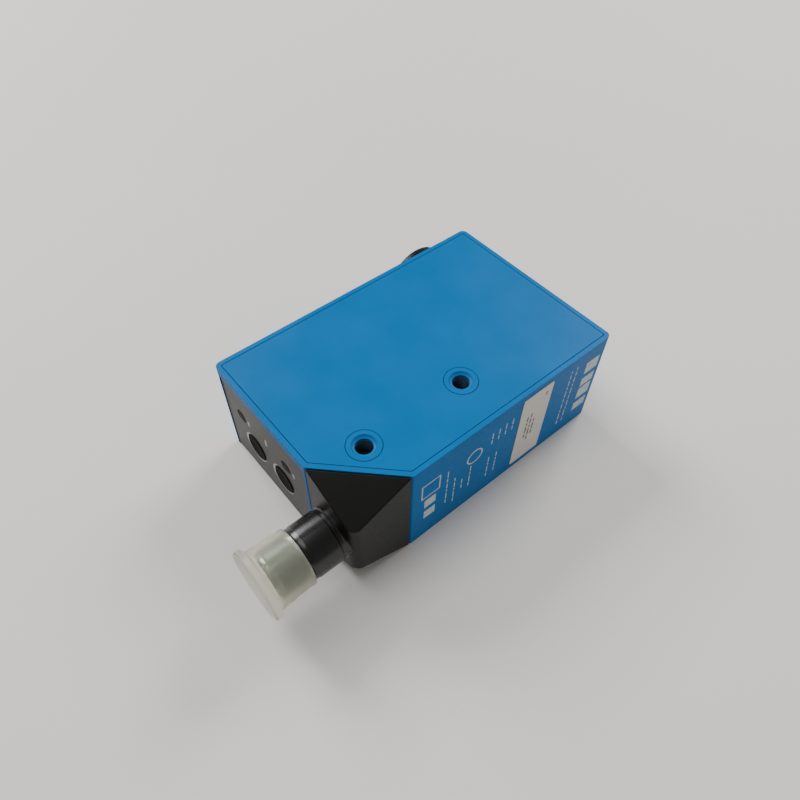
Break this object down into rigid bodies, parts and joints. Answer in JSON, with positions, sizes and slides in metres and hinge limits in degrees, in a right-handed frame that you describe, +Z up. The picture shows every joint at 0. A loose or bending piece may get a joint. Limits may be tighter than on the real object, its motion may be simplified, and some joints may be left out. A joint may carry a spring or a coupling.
{
  "type": "photoelectric sensor",
  "caption": "Photoelectric sensor in a flat blue die-cast housing with push buttons, a front lens and a swivelling round plug connector under a dust cap.",
  "frame": {"origin": "middle of the 80 x 53 mm underside of the housing, as if its corner were not cut", "axes": "+X along the long side, away from the push buttons and the connector; +Y towards the lens; +Z up out of the cover"},
  "size_m": [0.1002, 0.0608, 0.0304],
  "materials": {
    "blue_lacquer": "fine satin lacquer on zinc die-cast",
    "black_polyamide": "satin moulded, glass-filled",
    "grey_panel": "fine matt film",
    "black_rubber": "matt",
    "circuit_board": "solder mask",
    "steel": "bright",
    "nickel_brass": "satin nickel plate",
    "black_anodised": "satin black anodised",
    "lens_glass": "polished",
    "window_plastic": "smoked clear",
    "gold_contact": "gold flashed",
    "white_plastic": "plain",
    "label_film": "satin film",
    "cap_polyethylene": "translucent, waxy",
    "capacitor_sleeve": "shrunk film"
  },
  "bodies": {
    "housing": {"housing_body": "blue_lacquer", "side_cover": "blue_lacquer", "cover_gasket": "black_rubber", "control_panel": "grey_panel", "panel_gasket": "black_rubber", "right_indicator_window": "window_plastic", "left_indicator_window": "window_plastic", "right_switch": "steel", "left_switch": "steel", "right_indicator_led": "white_plastic", "left_indicator_led": "white_plastic", "panel_board": "circuit_board", "main_board": "circuit_board", "board_screw_1": "steel", "board_screw_2": "steel", "board_screw_3": "steel", "processor_chip": "black_polyamide", "supply_capacitor": "capacitor_sleeve", "board_connector": "white_plastic", "optics_holder": "black_polyamide", "beam_splitter": "lens_glass", "light_emitter": "steel", "light_receiver": "steel", "holder_screw_1": "steel", "holder_screw_2": "steel", "lens_barrel": "black_anodised", "front_lens": "lens_glass", "lens_retaining_ring": "black_anodised", "lens_seal": "black_rubber", "blind_plug": "black_anodised", "plug_seal": "black_rubber", "rating_label": "label_film"},
    "swivel": {"connector_block": "black_polyamide", "swivel_retaining_ring": "steel", "swivel_seal": "black_rubber", "threaded_sleeve": "nickel_brass", "contact_carrier": "black_polyamide", "contact_pin_1": "gold_contact", "contact_pin_2": "gold_contact", "contact_pin_3": "gold_contact", "contact_pin_4": "gold_contact"},
    "left_button": {"left_button": "black_polyamide"},
    "right_button": {"right_button": "black_polyamide"},
    "dust_cap": {"dust_cap": "cap_polyethylene"}
  },
  "joints": [
    {"name": "connector_swivel", "type": "hinge", "parent": "housing", "child": "swivel", "pos_m": [-0.03185, -0.01835, 0.0152], "axis": [0.7071, 0.7071, 0], "range_deg": [0, 180]},
    {"name": "left_button_press", "type": "slide", "parent": "housing", "child": "left_button", "axis": [1, 0, 0], "range_m": [0, 0.0005], "stiffness_N_per_m": 3000},
    {"name": "right_button_press", "type": "slide", "parent": "housing", "child": "right_button", "axis": [1, 0, 0], "range_m": [0, 0.0005], "stiffness_N_per_m": 3000},
    {"name": "dust_cap_pull", "type": "slide", "parent": "swivel", "child": "dust_cap", "axis": [-1, 0, 0], "range_m": [0, 0.012]}
  ]
}
